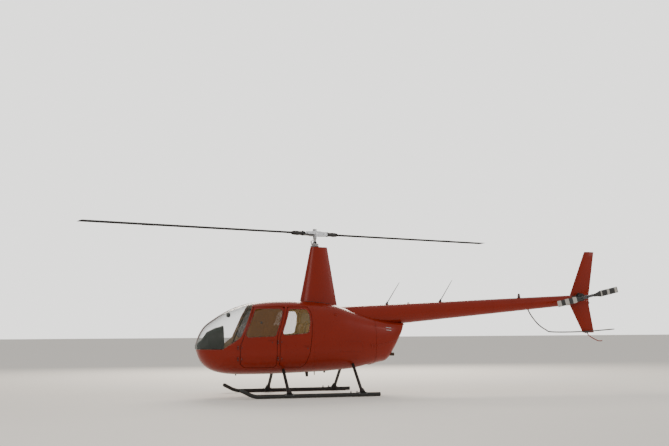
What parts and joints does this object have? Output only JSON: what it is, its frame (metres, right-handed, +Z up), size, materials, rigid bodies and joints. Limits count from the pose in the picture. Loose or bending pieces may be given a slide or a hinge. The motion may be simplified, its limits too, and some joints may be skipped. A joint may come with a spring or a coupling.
{
  "type": "light helicopter",
  "caption": "Light four-seat helicopter with teetering two-blade rotor, tall mast fairing, hinged cabin doors, slim tailcone, tail rotor with guard and skid landing gear.",
  "frame": {"origin": "on the ground, under the middle of the aircraft's overall length and width", "axes": "+X towards the tail, +Y to the pilot's right, +Z up"},
  "size_m": [11.3251, 4.3852, 3.2895],
  "materials": {
    "body_paint": "gloss",
    "gear_paint": "satin",
    "window_glass": "gloss",
    "cabin_trim": "matte",
    "seat_leather": "satin",
    "rotor_steel": "satin",
    "engine_metal": "satin",
    "blade_paint": "satin",
    "tail_blade_paint": "satin",
    "beacon_lens": "gloss"
  },
  "bodies": {
    "airframe": {"tailcone": "body_paint", "skid_left": "gear_paint", "skid_right": "gear_paint", "cross_tube_front": "gear_paint", "cross_tube_rear": "gear_paint", "cabin_shell": "body_paint", "roof_shell": "body_paint", "windshield_left": "window_glass", "windshield_right": "window_glass", "cabin_bulkhead": "cabin_trim", "seat_base_front": "cabin_trim", "seat_cushion_front_left": "seat_leather", "seat_back_front_left": "seat_leather", "seat_cushion_front_right": "seat_leather", "seat_back_front_right": "seat_leather", "seat_base_rear": "cabin_trim", "seat_cushion_rear_left": "seat_leather", "seat_back_rear_left": "seat_leather", "seat_cushion_rear_right": "seat_leather", "seat_back_rear_right": "seat_leather", "console": "cabin_trim", "cyclic_stick": "cabin_trim", "foot_pedals_left": "cabin_trim", "foot_pedals_right": "cabin_trim", "lift_lever_middle": "cabin_trim", "lift_lever_left": "cabin_trim", "compass": "cabin_trim", "engine_block": "engine_metal", "exhaust": "engine_metal", "engine_cowl": "body_paint", "tail_cowl": "body_paint", "mast_fairing": "body_paint", "swashplate": "rotor_steel", "tail_gearbox": "gear_paint", "upper_fin": "body_paint", "lower_fin": "body_paint", "stabiliser": "body_paint", "tail_guard": "gear_paint", "tail_skid": "body_paint", "aerial_front": "gear_paint", "aerial_rear": "gear_paint", "beacon": "beacon_lens"},
    "door_front_left": {"door_front_left": "body_paint", "window_front_left": "window_glass"},
    "door_front_right": {"door_front_right": "body_paint", "window_front_right": "window_glass"},
    "door_rear_left": {"door_rear_left": "body_paint", "window_rear_left": "window_glass"},
    "door_rear_right": {"door_rear_right": "body_paint", "window_rear_right": "window_glass"},
    "mast": {"mast": "rotor_steel"},
    "rotor": {"rotor_hub": "rotor_steel", "main_blade_1": "blade_paint", "main_blade_2": "blade_paint"},
    "tail_rotor": {"tail_rotor_hub": "rotor_steel", "tail_blade_1": "tail_blade_paint", "tail_blade_2": "tail_blade_paint"}
  },
  "joints": [
    {"name": "door_front_left_hinge", "type": "hinge", "parent": "airframe", "child": "door_front_left", "pos_m": [-2.6416, -0.5963, 0.9], "axis": [0, 0, -1], "range_deg": [0, 80]},
    {"name": "door_front_right_hinge", "type": "hinge", "parent": "airframe", "child": "door_front_right", "pos_m": [-2.6416, 0.5963, 0.9], "axis": [0, 0, 1], "range_deg": [0, 80]},
    {"name": "door_rear_left_hinge", "type": "hinge", "parent": "airframe", "child": "door_rear_left", "pos_m": [-1.8866, -0.65, 0.9], "axis": [0, 0, -1], "range_deg": [0, 80]},
    {"name": "door_rear_right_hinge", "type": "hinge", "parent": "airframe", "child": "door_rear_right", "pos_m": [-1.8866, 0.65, 0.9], "axis": [0, 0, 1], "range_deg": [0, 80]},
    {"name": "main_rotor_spin", "type": "hinge", "parent": "airframe", "child": "mast", "pos_m": [-1.0356, 0, 2.95], "axis": [0, 0, 1], "continuous": true},
    {"name": "rotor_teeter", "type": "hinge", "parent": "mast", "child": "rotor", "pos_m": [-1.0356, 0, 3.18], "axis": [-0.4147, 0.91, 0], "range_deg": [-5.9, 8]},
    {"name": "tail_rotor_spin", "type": "hinge", "parent": "airframe", "child": "tail_rotor", "pos_m": [4.8574, -0.338, 1.923], "axis": [0, -1, 0], "continuous": true}
  ]
}
